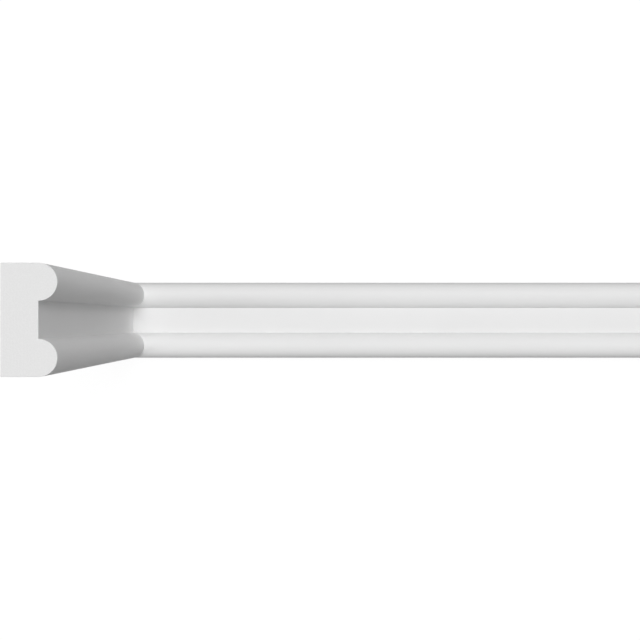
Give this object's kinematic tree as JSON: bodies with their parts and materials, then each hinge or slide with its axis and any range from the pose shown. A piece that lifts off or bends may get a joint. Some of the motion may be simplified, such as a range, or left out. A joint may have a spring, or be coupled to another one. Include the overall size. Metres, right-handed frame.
{
  "type": "panel moulding",
  "caption": "White wall panel moulding: a plain flat band between half-round beads, a full stock length with a short return mitred to it at an inside corner, flat backs for glueing.",
  "frame": {"origin": "middle of the run's back, the face that lies on the floor or is glued to the wall", "axes": "+X along the run away from the corner, +Y across the face, +Z out from the run's back and along the return"},
  "size_m": [2, 0.03, 0.2],
  "materials": {
    "primed_moulding": "matt white primed rigid foam, white all through"
  },
  "bodies": {
    "root": {"moulding_run": "primed_moulding", "moulding_return": "primed_moulding"}
  },
  "joints": []
}
